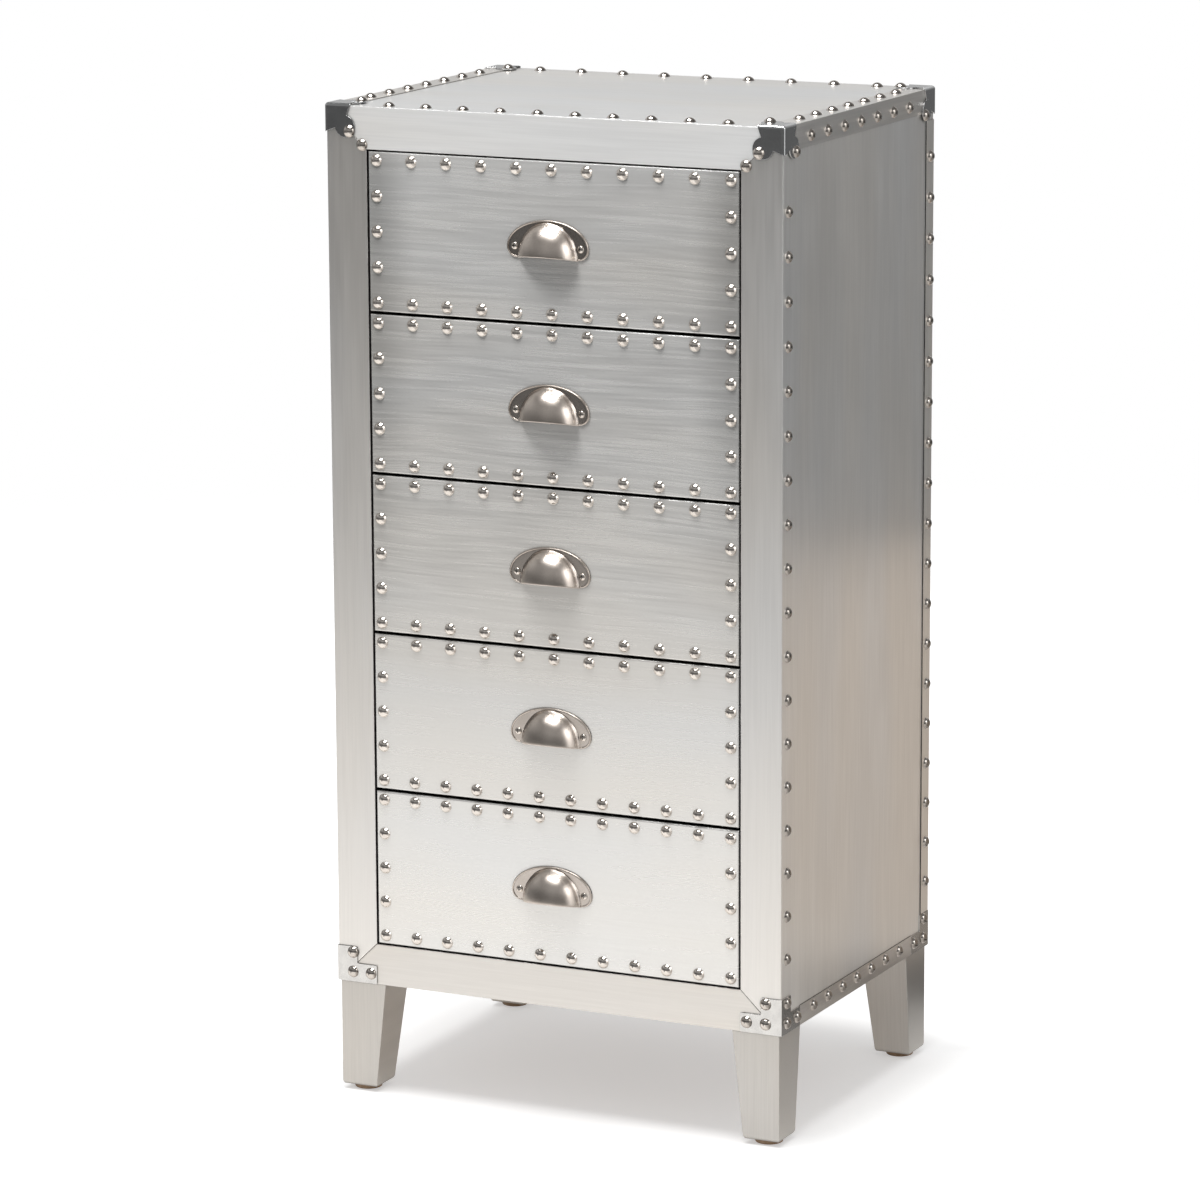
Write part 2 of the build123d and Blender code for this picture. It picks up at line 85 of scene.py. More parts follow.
class Sock:
    # one output socket of a node tree; arithmetic on it adds Math nodes
    def __init__(self, tree, source=None):
        self.tree = tree
        self.source = source

    def node(self, kind, settings={}, values={}, out=0):
        made = self.tree.nodes.new(kind)
        for name, setting in settings.items():
            if name == "stops":
                self.setStops(made.color_ramp.elements, setting)
            else:
                setattr(made, name, setting)
        for name, value in values.items():
            socket = made.inputs[name]
            if isinstance(value, Sock):
                self.tree.links.new(value.source, socket)
            elif socket.type == "RGBA":
                socket.default_value = (*value, 1.0)
            else:
                socket.default_value = value
        return Sock(self.tree, made.outputs[out] if made.outputs else None)

    def setStops(self, elements, stops):
        while len(elements) < len(stops):
            elements.new(1.0)
        for element, (place, tone) in zip(elements, stops):
            element.position = place
            element.color = (tone, tone, tone, 1.0)

    def maths(self, operation, first, second=0.0, clamp=False):
        settings = {"operation": operation, "use_clamp": clamp}
        return self.node("ShaderNodeMath", settings, {0: first, 1: second})

    def __add__(self, other):
        return self.maths("ADD", self, other)

    def __radd__(self, other):
        return self.maths("ADD", other, self)

    def __sub__(self, other):
        return self.maths("SUBTRACT", self, other)

    def __rsub__(self, other):
        return self.maths("SUBTRACT", other, self)

    def __mul__(self, other):
        return self.maths("MULTIPLY", self, other)

    def __rmul__(self, other):
        return self.maths("MULTIPLY", other, self)

    def __truediv__(self, other):
        return self.maths("DIVIDE", self, other)

    def __rtruediv__(self, other):
        return self.maths("DIVIDE", other, self)

    def __abs__(self):
        return self.maths("ABSOLUTE", self)

    def clamped(self):
        return self.maths("ADD", self, 0.0, clamp=True)

    def ramp(self, low, high):
        # 0 below low, 1 above high, smooth between
        values = {"Value": self, "From Min": low, "From Max": high}
        return self.node("ShaderNodeMapRange", {"interpolation_type": "SMOOTHSTEP"}, values)

    def blend(self, first, second):
        # colour from first to second as this goes from 0 to 1
        values = {"Factor": self, 6: first, 7: second}
        return self.node("ShaderNodeMix", {"data_type": "RGBA"}, values, out=2)

    def tinted(self, colour):
        # this colour times another
        values = {"Factor": 1.0, 6: self, 7: colour}
        return self.node("ShaderNodeMix", {"data_type": "RGBA", "blend_type": "MULTIPLY"}, values, out=2)

    def axes(self):
        # the x, y and z of a vector
        parts = self.node("ShaderNodeSeparateXYZ", {}, {0: self})
        return [Sock(self.tree, socket) for socket in parts.source.node.outputs]


def newFinish(name):
    material = bpy.data.materials.new(name)
    material.use_nodes = True
    material.node_tree.nodes.clear()
    return material, Sock(material.node_tree)


def close(start, surface):
    start.node("ShaderNodeOutputMaterial", {}, {"Surface": surface})


def objectPlace(start):
    return start.node("ShaderNodeTexCoord", out="Object")


def faceNormal(start):
    return start.node("ShaderNodeNewGeometry", out="True Normal")


def noise(place, cells, detail, rough=0.5):
    # cells per metre along x, y and z
    scaled = place.node("ShaderNodeMapping", {}, {"Vector": place, "Scale": cells})
    values = {"Vector": scaled, "Scale": 1.0, "Detail": detail, "Roughness": rough}
    return place.node("ShaderNodeTexNoise", {}, values)


def openness(start, distance, samples):
    # 1 where nothing stands near the surface, 0 deep in a gap
    settings = {"samples": samples}
    return start.node("ShaderNodeAmbientOcclusion", settings, {"Distance": distance}, out="AO")


def roundEdge(start, radius, samples=4):
    return start.node("ShaderNodeBevel", {"samples": samples}, {"Radius": radius})


# Brushed sheet: layers of noise drawn out along the brushing, wandering a little, give its tone and relief
brushed = dict(
    layers=dict(  # cells per metre across and along the brushing, detail, share of the tone
        fine=(620.0, 14.0, 2.0, 0.36),
        mid=(230.0, 11.0, 1.0, 0.27),
        broad=(48.0, 7.0, 1.0, 0.12),
        cloud=(9.0, 6.0, 2.0, 0.25),
    ),
    toneFrom=(0.35, 0.65),  # what counts as dull and as pale
    wanderCells=5.5,
    wanderDetail=1.0,
    drift=(11.0, 3.0, 1.0),  # slow change of tint: cells across and along, detail
    driftFrom=(0.32, 0.68),
    cool=(0.985, 0.993, 1.0),
    warm=(1.0, 0.985, 0.96),
    relief=dict(fine=0.6, mid=0.4),  # what these layers add to the relief
    reliefDepth=0.2 * mm,
    paintedShadeReach=9.0 * mm,  # how far nails, pulls and brackets darken the sheet round them with painted shade
    paintedShadeSamples=6,
    paintedShadeFrom=(0.45, 0.92),  # openness at which the painted shade is darkest and is gone
    paintedShadeTone=(0.50, 0.50, 0.50),
    seamFrom=(0.5, 0.8),  # how squarely an edge faces the way given for its painted shade line
    seamTone=(0.07, 0.068, 0.065),
    ends=(50.0 * mm, 5.0 * mm),  # how far from a drawer's ends the painted shade sets in and is full
    tarnishFrom=(0.35, 0.80),  # heights between which the painted shade at the ends sets in
    foldShadeFrom=(1.6 * mm, 4.0 * mm),  # depth behind the front at which the painted shade in the folds sets in
    openFrom=(0.40, 0.75),  # openness at which the painted shade leaves a fold, as on a drawer pulled out
)


def brushedSheet(name, look):
    material, start = newFinish(name)
    place = objectPlace(start)
    across = look["across"]  # axis square to the brushing
    push = [0.0, 0.0, 0.0]
    push[across] = look["wander"]
    sway = {"Vector": place, "Scale": brushed["wanderCells"], "Detail": brushed["wanderDetail"]}
    waves = start.node("ShaderNodeTexNoise", {}, sway, out="Color")
    bent = start.node("ShaderNodeVectorMath", {"operation": "MULTIPLY_ADD"}, {0: waves, 1: push, 2: place})

    def layer(wide, along, detail):
        cells = [along] * 3
        cells[across] = wide
        return noise(bent, cells, detail)

    lines = {}
    tone = 0.0
    for key, (wide, along, detail, share) in brushed["layers"].items():
        lines[key] = layer(wide, along, detail)
        tone = tone + lines[key] * share
    tone = tone.ramp(*brushed["toneFrom"])
    tint = layer(*brushed["drift"]).ramp(*brushed["driftFrom"]).blend(brushed["cool"], brushed["warm"])
    colour = tone.blend(look["dull"], look["pale"]).tinted(tint)
    exposed = openness(start, brushed["paintedShadeReach"], brushed["paintedShadeSamples"])
    # painted shade round nails, pulls and brackets, darkest where they stand closest
    colour = colour.tinted(exposed.ramp(*brushed["paintedShadeFrom"]).blend(brushed["paintedShadeTone"], white))
    # painted shade towards the ends of the drawer fronts, high up only
    if "tarnish" in look:
        x, _, z = place.axes()
        ends = abs(x).ramp(*(frontHalf - inset for inset in brushed["ends"]))
        high = z.ramp(*brushed["tarnishFrom"])
        colour = colour.tinted((ends * high).blend(white, look["tarnish"]))
    # painted shade line on the edges that face the given way
    if "seam" in look:
        facing = {0: faceNormal(start), 1: look["seam"]}
        edgeOn = start.node("ShaderNodeVectorMath", {"operation": "DOT_PRODUCT"}, facing, out="Value")
        colour = edgeOn.ramp(*brushed["seamFrom"]).blend(colour, brushed["seamTone"])
    # black painted shade in the folds behind the front, only while the drawer is shut
    if "folded" in look:
        behind = (place.axes()[1] - frontY).ramp(*brushed["foldShadeFrom"])
        shut = 1.0 - exposed.ramp(*brushed["openFrom"])
        colour = (behind * shut).blend(colour, look["folded"])
    height = sum(lines[key] * share for key, share in brushed["relief"].items())
    relief = {
        "Strength": look["bump"],
        "Distance": brushed["reliefDepth"],
        "Height": height,
        "Normal": roundEdge(start, look["edge"]),
    }
    surface = {
        "Base Color": colour,
        "Metallic": look["metal"],
        "Roughness": look["rough"] + (tone - 0.5) * look["roughSwing"],
        "Anisotropic": look["stretch"],
        "Anisotropic Rotation": look["turn"],
        "Normal": start.node("ShaderNodeBump", {}, relief),
    }
    close(start, start.node("ShaderNodeBsdfPrincipled", {}, surface))
    return material


# Drawer fronts and rails are brushed from left to right, stiles, sides and legs up and down
sheet = dict(metal=1.0, roughSwing=0.06, bump=0.10, stretch=0.0, turn=0.0, edge=1.2 * mm)
frameSheet = dict(sheet, roughSwing=0.05, wander=0.003)
thinStrip = dict(sheet, roughSwing=0.08, bump=0.06, wander=0.002, edge=0.3 * mm)
sheetLooks = dict(
    # drawer fronts: black painted shade in their folds while shut, and painted shade towards their ends on
    # the upper drawers
    drawerSheet=dict(
        sheet, across=2, pale=(0.87, 0.86, 0.842), dull=(0.78, 0.77, 0.753), metal=0.68, rough=0.245,
        roughSwing=0.11, bump=0.12, stretch=0.35, turn=0.25, wander=0.016, folded=(0.012, 0.012, 0.012),
        tarnish=(0.66, 0.66, 0.655),
    ),
    stileSheet=dict(
        frameSheet, across=0, pale=(0.94, 0.925, 0.905), dull=(0.88, 0.865, 0.845), rough=0.42,
    ),
    topRailSheet=dict(
        frameSheet, across=2, pale=(0.95, 0.945, 0.935), dull=(0.89, 0.885, 0.875), metal=0.80, rough=0.62,
        stretch=0.3, turn=0.25,
    ),
    bottomRailSheet=dict(
        frameSheet, across=2, pale=(0.88, 0.845, 0.80), dull=(0.82, 0.785, 0.74), rough=0.42, stretch=0.3,
        turn=0.25,
    ),
    sideSheet=dict(
        sheet, across=1, pale=(0.95, 0.94, 0.925), dull=(0.87, 0.86, 0.845), rough=0.38, stretch=0.5,
        wander=0.006,
    ),
    topSheet=dict(
        sheet, across=1, pale=(0.84, 0.835, 0.825), dull=(0.79, 0.785, 0.775), rough=0.42, bump=0.06,
        wander=0.004,
    ),
    # each trim below paints a dark shade line on its edges that face the given way
    trimSheet=dict(
        thinStrip, across=2, pale=(0.80, 0.775, 0.745), dull=(0.71, 0.69, 0.665), rough=0.40,
        seam=(0.0, 0.0, -1.0),
    ),
    stripSheet=dict(
        thinStrip, across=2, pale=(0.76, 0.73, 0.70), dull=(0.67, 0.64, 0.615), rough=0.34,
        seam=(0.0, 0.0, 1.0),
    ),
    rearTrimSheet=dict(
        thinStrip, across=1, pale=(0.88, 0.86, 0.83), dull=(0.80, 0.78, 0.75), rough=0.40,
        seam=(0.0, -1.0, 0.0),
    ),
    legSheet=dict(
        sheet, across=0, pale=(0.63, 0.61, 0.585), dull=(0.565, 0.547, 0.523), rough=0.38, bump=0.05,
        wander=0.002,
    ),
)


# Smooth metal: faint clouds and a fine grain of tone, with patina, painted shade on faces looking left and
# right, and painted shade in hollows, each on some
smooth = dict(
    cloudDetail=3.0,
    grainDetail=2.0,
    share=(0.6, 0.4),  # what clouds and grain add to the tone
    toneFrom=(0.34, 0.66),
    flankFrom=(0.5, 0.8),  # how squarely a face looks left or right, for the painted shade on the flanks
    # openness at which the painted shade in hollows is full and is gone
    hollowFrom=(0.45, 0.85),
    hollowSamples=8,
    pitDepth=0.1 * mm,
)


def smoothMetal(name, look):
    material, start = newFinish(name)
    place = objectPlace(start)
    cloud = noise(place, [look["cells"]] * 3, smooth["cloudDetail"])
    grain = noise(place, [look["grain"]] * 3, smooth["grainDetail"])
    cloudShare, grainShare = smooth["share"]
    tone = (cloud * cloudShare + grain * grainShare).ramp(*smooth["toneFrom"])
    colour = tone.blend(look["dull"], look["pale"])
    rough = look["rough"] + (grain - 0.5) * look["roughSwing"]
    if "patina" in look:
        worn = start.node("ShaderNodeAttribute", {"attribute_name": "patina"}, out="Fac")
        colour = worn.blend(colour, tone.blend(look["patina"], look["patinaPale"]))
        rough = rough + worn * look["patinaRough"]
    # painted shade on faces looking left or right
    if "flank" in look:
        sideways = abs(faceNormal(start).axes()[0])
        colour = sideways.ramp(*smooth["flankFrom"]).blend(colour, look["flank"])
    # painted shade in hollows, such as the screws' recesses
    if "hollow" in look:
        shade = openness(start, look["hollow"], smooth["hollowSamples"])
        colour = shade.ramp(*smooth["hollowFrom"]).blend(look["hollowTone"], colour)
    relief = {"Strength": look["bump"], "Distance": smooth["pitDepth"], "Height": grain}
    if "edge" in look:
        relief["Normal"] = roundEdge(start, look["edge"])
    surface = {
        "Base Color": colour,
        "Metallic": 1.0,
        "Roughness": rough,
        "Normal": start.node("ShaderNodeBump", {}, relief),
    }
    close(start, start.node("ShaderNodeBsdfPrincipled", {}, surface))
    return material


nickel = dict(cells=90.0, grain=700.0, roughSwing=0.06, bump=0.01)
metalLooks = dict(
    nailMetal=dict(nickel, pale=(0.81, 0.755, 0.70), dull=(0.71, 0.655, 0.605), rough=0.13),
    # the side and top nails: a darker copy of the nails' metal as painted shade, with painted shade on faces
    # looking left or right
    carcassNailMetal=dict(
        nickel, pale=(0.68, 0.63, 0.585), dull=(0.57, 0.525, 0.48), rough=0.12, flank=(0.28, 0.255, 0.23),
    ),
    pullMetal=dict(
        pale=(0.68, 0.61, 0.55), dull=(0.60, 0.535, 0.48), cells=60.0, grain=900.0, rough=0.30,
        roughSwing=0.02, bump=0.003, patina=(0.44, 0.405, 0.375), patinaPale=(0.54, 0.50, 0.465),
        patinaRough=-0.14,  # the flange is smoother than the cup
    ),
    # caps and brackets below get painted shade on their faces looking left or right
    capMetal=dict(
        pale=(0.62, 0.625, 0.63), dull=(0.55, 0.555, 0.56), cells=60.0, grain=400.0, rough=0.17,
        roughSwing=0.06, bump=0.008, edge=0.7 * mm, flank=(0.42, 0.425, 0.43),
    ),
    bracketMetal=dict(
        pale=(0.71, 0.70, 0.68), dull=(0.61, 0.60, 0.585), cells=120.0, grain=600.0, rough=0.24,
        roughSwing=0.10, bump=0.03, edge=0.5 * mm, flank=(0.36, 0.35, 0.335),
    ),
    # screws: painted shade in their recesses
    screwMetal=dict(
        pale=(0.82, 0.76, 0.70), dull=(0.70, 0.64, 0.58), cells=200.0, grain=1500.0, rough=0.24,
        roughSwing=0.08, bump=0.03, hollow=1.6 * mm, hollowTone=(0.02, 0.017, 0.015),
    ),
)


# Wood: growth lines drawn out along the board, with fine pores over them
boards = dict(
    ringDetail=4.0,
    ringRough=0.62,
    poreDetail=2.0,
    share=(0.7, 0.3),  # what rings and pores add to the tone
    toneFrom=(0.33, 0.67),
    bump=0.15,
    poreDepth=0.2 * mm,
    roughSwing=0.15,
)


def wood(name, look):
    material, start = newFinish(name)
    place = objectPlace(start)

    def drawn(size):
        cells = [size] * 3
        cells[look["along"]] = size * look["draw"]
        return cells

    rings = noise(place, drawn(look["rings"]), boards["ringDetail"], boards["ringRough"])
    pores = noise(place, drawn(look["pores"]), boards["poreDetail"])
    ringShare, poreShare = boards["share"]
    tone = (rings * ringShare + pores * poreShare).ramp(*boards["toneFrom"])
    relief = {"Strength": boards["bump"], "Distance": boards["poreDepth"], "Height": pores}
    surface = {
        "Base Color": tone.blend(look["dark"], look["pale"]),
        "Roughness": look["rough"] + (pores - 0.5) * boards["roughSwing"],
        "Normal": start.node("ShaderNodeBump", {}, relief),
    }
    close(start, start.node("ShaderNodeBsdfPrincipled", {}, surface))
    return material


carcassBoard = dict(
    dark=(0.20, 0.115, 0.06), pale=(0.36, 0.23, 0.13), rings=60.0, draw=0.08, pores=700.0, rough=0.62,
)
woodLooks = dict(
    uprightWood=dict(carcassBoard, along=2),
    crossWood=dict(carcassBoard, along=0),
    boxWood=dict(
        along=1, dark=(0.42, 0.29, 0.17), pale=(0.60, 0.45, 0.29), rings=45.0, draw=0.06, pores=800.0,
        rough=0.58,
    ),
    plyWood=dict(
        along=0, dark=(0.47, 0.34, 0.21), pale=(0.64, 0.50, 0.34), rings=35.0, draw=0.10, pores=700.0,
        rough=0.60,
    ),
    runnerWood=dict(
        along=1, dark=(0.33, 0.20, 0.11), pale=(0.48, 0.32, 0.19), rings=70.0, draw=0.05, pores=900.0,
        rough=0.50,
    ),
    backBoard=dict(
        along=2, dark=(0.15, 0.10, 0.065), pale=(0.24, 0.165, 0.105), rings=300.0, draw=0.9, pores=900.0,
        rough=0.70,
    ),
    glidePad=dict(
        along=0, dark=(0.40, 0.26, 0.16), pale=(0.52, 0.35, 0.22), rings=220.0, draw=1.0, pores=1500.0,
        rough=0.45,
    ),
)

finishes = {}
for maker, looks in ((brushedSheet, sheetLooks), (smoothMetal, metalLooks), (wood, woodLooks)):
    for name, look in looks.items():
        finishes[name] = maker(name, look)

# Which finish each node wears
carcassFinishes = dict(
    left_side_panel="uprightWood",
    right_side_panel="uprightWood",
    top_panel="crossWood",
    bottom_panel="crossWood",
    back_panel="backBoard",
    front_stiles="uprightWood",
    front_rails="crossWood",
    left_stile_sheet="stileSheet",
    right_stile_sheet="stileSheet",
    top_rail_sheet="topRailSheet",
    bottom_rail_sheet="bottomRailSheet",
    top_sheet="topSheet",
    left_side_sheet="sideSheet",
    right_side_sheet="sideSheet",
    top_edge_angles="trimSheet",
    rear_edge_angles="rearTrimSheet",
    bottom_edge_strips="stripSheet",
    top_corner_caps="capMetal",
    bottom_corner_brackets="bracketMetal",
    drawer_runners="runnerWood",
    leg_cores="uprightWood",
    leg_sheets="legSheet",
    leg_bolts="bracketMetal",
    foot_glides="glidePad",
    carcass_nails="carcassNailMetal",
)
drawerFinishes = dict(
    front="crossWood",
    front_sheet="drawerSheet",
    box="boxWood",
    bottom="plyWood",
    pull="pullMetal",
    pull_screws="screwMetal",
    nails="nailMetal",
)


def wear(node, finish):
    piece = nodes[node]
    if not piece.material_slots:
        piece.data.materials.append(finish)
    for place in piece.material_slots:
        place.material = finish


for node, finish in carcassFinishes.items():
    wear(node, finishes[finish])
for number in range(1, drawerCount + 1):
    for part, finish in drawerFinishes.items():
        wear(f"drawer_{number}_{part}", finishes[finish])
print("finishes:", len(finishes))


# Cup pulls: a horseshoe flange with a rounded rim, and half a dome that flares where it meets the flange
pullLook = dict(
    shoulder=9.8 * mm,  # radius of the flange's lower corners
    plate=1.2 * mm,
    rimWidth=1.7 * mm,
    rimHeight=2.0 * mm,
    rimFoot=0.9 * mm,
    cupHalf=27.4 * mm,
    cupHeight=31.0 * mm,
    cupReach=22.4 * mm,
    wall=1.5 * mm,
    lipSlope=0.21,
    flare=1.8 * mm,
    flareLength=1.3 * mm,
    rimPatina=(0.6, 1.0),  # at the rim's inner foot
    platePatina=0.55,  # in the middle of the plate, rising to 1 at both its edges
    platePower=6,
    creasePower=4,  # how fast the patina leaves the crease between plate and dome
    cornerSteps=17,
    archSteps=97,
    rimSteps=11,
    plateSteps=9,
    turnSteps=65,
    tiltSteps=25,
    lipSteps=9,
    weld=0.002 * mm,
    sharpAngle=radians(50),
)


def closedBody(points, first):
    # faces of a closed section carried along a path: rows follow the path, columns go round the section
    rows, columns = points.shape[:2]
    index = first + np.arange(rows * columns).reshape(rows, columns)
    after = np.roll(index, -1, 1)
    sides = np.stack([index[:-1], after[:-1], after[1:], index[1:]], -1).reshape(-1, 4)
    return sides.tolist() + [index[0, ::-1].tolist(), index[-1].tolist()]


def flangeSection(half, height):
    # along the path: a right corner, a half ellipse and a left corner outside, the cup's ellipse inside;
    # round the section: half-round rim, plate, the edge at the cup and the back
    look = pullLook
    low = look["shoulder"]
    corner = np.linspace(-pi / 2, 0, look["cornerSteps"])[:-1]
    arch = np.linspace(0, pi, look["archSteps"])
    rightX = half - low + low * np.cos(corner)
    cornerZ = low + low * np.sin(corner)
    outX = np.concatenate([rightX, half * np.cos(arch), -rightX[::-1]])
    outZ = np.concatenate([cornerZ, low + (height - low) * np.sin(arch), cornerZ[::-1]])
    length = np.concatenate([[0], np.cumsum(np.hypot(np.diff(outX), np.diff(outZ)))])
    swing = pi * length / length[-1]
    inX = look["cupHalf"] * np.cos(swing)
    inZ = look["cupHeight"] * np.sin(swing)
    slopeX, slopeZ = np.gradient(outX), np.gradient(outZ)
    inwardX = -slopeZ / np.hypot(slopeX, slopeZ)
    inwardZ = slopeX / np.hypot(slopeX, slopeZ)
    bow = np.linspace(0, pi, look["rimSteps"])
    foot = np.where(bow < pi / 2, look["rimFoot"], look["plate"])
    inset = look["rimWidth"] / 2 * (1 - np.cos(bow))
    proud = foot + (look["rimHeight"] - foot) * np.sin(bow)
    rimX = outX[:, None] + inset * inwardX[:, None]
    rimY = -proud + 0 * outX[:, None]
    rimZ = outZ[:, None] + inset * inwardZ[:, None]
    rim = np.stack([rimX, rimY, rimZ], -1)
    share = np.linspace(0, 1, look["plateSteps"])[1:, None]
    inner = np.stack([inX, np.full(len(inX), -look["plate"]), inZ], -1)
    plate = rim[:, -1:, :] * (1 - share) + inner[:, None, :] * share
    back = np.stack([inner * [1, 0, 1], np.stack([outX, 0 * outX, outZ], -1)], 1)
    cleanRim = np.zeros(look["rimSteps"] - len(look["rimPatina"]))
    edges = np.abs(2 * share[:, 0] - 1) ** look["platePower"]
    platePatina = look["platePatina"] + (1 - look["platePatina"]) * edges
    patina = np.concatenate([cleanRim, look["rimPatina"], platePatina, [1, 0]])
    return np.concatenate([rim, plate, back], 1), np.tile(patina, (len(outX), 1))


def domeSection():
    # half an ellipsoid on a left-right axis: turn goes from end to end, tilt from the plate to the lip;
    # near the plate it flares by a falling exponential of the depth
    look = pullLook
    tiltLow = np.arctan(look["lipSlope"] * look["cupReach"] / look["cupHeight"])
    turn = np.linspace(0, pi, look["turnSteps"])[:, None]
    tilt = np.linspace(pi / 2, tiltLow, look["tiltSteps"])[None, :]

    def skin(thin):
        half, reach, height = (look[name] - thin for name in ("cupHalf", "cupReach", "cupHeight"))
        x = half * np.cos(turn) + 0 * tilt
        y = -reach * np.sin(turn) * np.cos(tilt)
        z = height * np.sin(turn) * np.sin(tilt)
        return np.stack([x, y, z], -1)

    outer, inner = skin(0.0), skin(look["wall"])
    proud = look["flare"] * np.exp(-(np.maximum(-outer[..., 1] - look["plate"], 0)) / look["flareLength"])
    radial = np.hypot(outer[..., 0], outer[..., 2])
    outer[..., 0] += proud * outer[..., 0] / radial
    outer[..., 2] += proud * outer[..., 2] / radial
    middle = (outer[:, -1:] + inner[:, -1:]) / 2
    arm = (outer[:, -1:] - inner[:, -1:]) / 2
    sink = np.array([0.0, -look["cupReach"] * np.sin(tiltLow), -look["cupHeight"] * np.cos(tiltLow)])
    sink = sink / np.linalg.norm(sink) * look["wall"] / 2
    swing = np.linspace(0, pi, look["lipSteps"])[1:-1, None]
    lip = middle + arm * np.cos(swing) + sink * np.sin(swing)
    points = np.concatenate([outer, lip, inner[:, ::-1]], 1)
    patina = np.zeros(points.shape[:2])
    patina[:, : outer.shape[1]] = (proud / look["flare"]) ** look["creasePower"]
    return points, patina


def makePull(number):
    low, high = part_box(f"drawer_{number}_pull")
    flange, flangePatina = flangeSection((high.x - low.x) / 2, high.z - low.z)
    dome, domePatina = domeSection()
    place = np.array([(low.x + high.x) / 2, high.y, low.z])
    points = np.concatenate([flange.reshape(-1, 3), dome.reshape(-1, 3)]) + place
    faces = closedBody(flange, 0) + closedBody(dome, flangePatina.size)
    mesh = bpy.data.meshes.new(f"cupPull_{number}")
    mesh.from_pydata(points.tolist(), [], faces)
    patina = mesh.attributes.new("patina", "FLOAT", "POINT")
    worn = np.concatenate([flangePatina.ravel(), domePatina.ravel()])
    patina.data.foreach_set("value", worn.astype(np.float32))
    form = bmesh.new()
    form.from_mesh(mesh)
    bmesh.ops.remove_doubles(form, verts=form.verts, dist=pullLook["weld"])
    bmesh.ops.recalc_face_normals(form, faces=form.faces)
    form.to_mesh(mesh)
    form.free()
    mesh.polygons.foreach_set("use_smooth", np.ones(len(mesh.polygons), bool))
    mesh.set_sharp_from_angle(angle=pullLook["sharpAngle"])
    mesh.materials.append(finishes["pullMetal"])
    pull = bpy.data.objects.new(f"cupPull_{number}", mesh)
    scene.collection.objects.link(pull)
    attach(pull, f"drawer_{number}")
    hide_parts(f"drawer_{number}_pull")
    return pull


pulls = [makePull(number) for number in range(1, drawerCount + 1)]
print("cup pulls:", len(pulls), "with", len(pulls[0].data.polygons), "faces each")


# Studio: a white floor that fades into a white surround, soft lamps, and dark glowing walls and low cards
# that only gloss sees: painted reflections, with a bright glowing strip in the walls that paints highlights
studio = dict(
    floorHalf=3.2,
    floorSteps=25,
    fade=(1.8, 3.0),  # distances from the chest between which the floor fades out
    floorTone=(0.80, 0.80, 0.80),
    floorGlow=(0.44, 0.33, 0.22),  # seen straight, seen in gloss, lost from the gloss beside the chest as painted shade in reflections
    glowPastPaintedShadow=0.32,  # added to the floor away from the chest, so that a painted shadow stays round it
    paintedShadowSpread=(1.0, 1.5),  # where the painted shadow round the chest fades out, in half widths and half depths of the chest
    reflectionShadeFrom=(0.20, 0.30),
    paintedReflectionShadeTone=(0.56, 0.55, 0.54),  # the floor beside the chest as gloss sees it, a painted shade in reflections
    # the floor is warmer in gloss only: a painted warm reflection
    paintedReflectionTint=(1.0, 0.94, 0.87),
    ambient=0.42,
    ceiling=0.20,  # what gloss sees above the walls
    bandSteps=8,
    wallRadius=2.4,
    wallHeight=2.5,
    wallStep=4.0,  # degrees
    wallStops=[  # share of a turn from the back, going round by the left, and the tone there; the bright stops at 0.71 and 0.74 are a glowing strip for painted highlights
        (0.00, 0.28), (0.05, 0.28), (0.20, 0.30), (0.33, 0.15), (0.40, 0.11), (0.44, 0.12), (0.50, 0.16),
        (0.57, 0.13), (0.67, 0.15), (0.71, 1.5), (0.74, 1.5), (0.78, 0.17), (0.89, 0.18), (0.935, 0.21),
        (0.97, 0.35), (1.0, 0.28),
    ],
    wallLift=1.6,  # how much brighter the walls are high up
    wallLiftFrom=(0.7, 1.7),
    cardSteps=40,
    cards=dict(  # low glowing bands behind and beside the chest, painted darker reflections low on its right side; arcs are degrees round from the front
        warmCard=dict(radius=0.62, height=0.42, arc=(100.0, 176.0), tone=(0.50, 0.445, 0.395)),
        darkCard=dict(radius=0.43, height=0.05, arc=(105.0, 178.0), tone=(0.15, 0.145, 0.14)),
    ),
)


def gridPiece(name, points, finish, closed=False):
    # a grid of points, rows by columns, as one mesh of quads; the columns may close on themselves
    rows, columns = points.shape[:2]
    index = np.arange(rows * columns).reshape(rows, columns)
    if closed:
        index = np.hstack([index, index[:, :1]])
    quads = np.stack([index[:-1, :-1], index[:-1, 1:], index[1:, 1:], index[1:, :-1]], -1).reshape(-1, 4)
    mesh = bpy.data.meshes.new(name)
    mesh.from_pydata(points.reshape(-1, 3).tolist(), [], quads.tolist())
    mesh.materials.append(finish)
    piece = bpy.data.objects.new(name, mesh)
    scene.collection.objects.link(piece)
    return piece


def raysOf(start):
    # 1 on rays from the camera or through glass, and 1 on rays in gloss
    outs = start.node("ShaderNodeLightPath").source.node.outputs
    names = ("Is Camera Ray", "Is Glossy Ray", "Is Transmission Ray")
    straight, gloss, through = (Sock(start.tree, outs[name]) for name in names)
    return (straight + through).clamped(), gloss


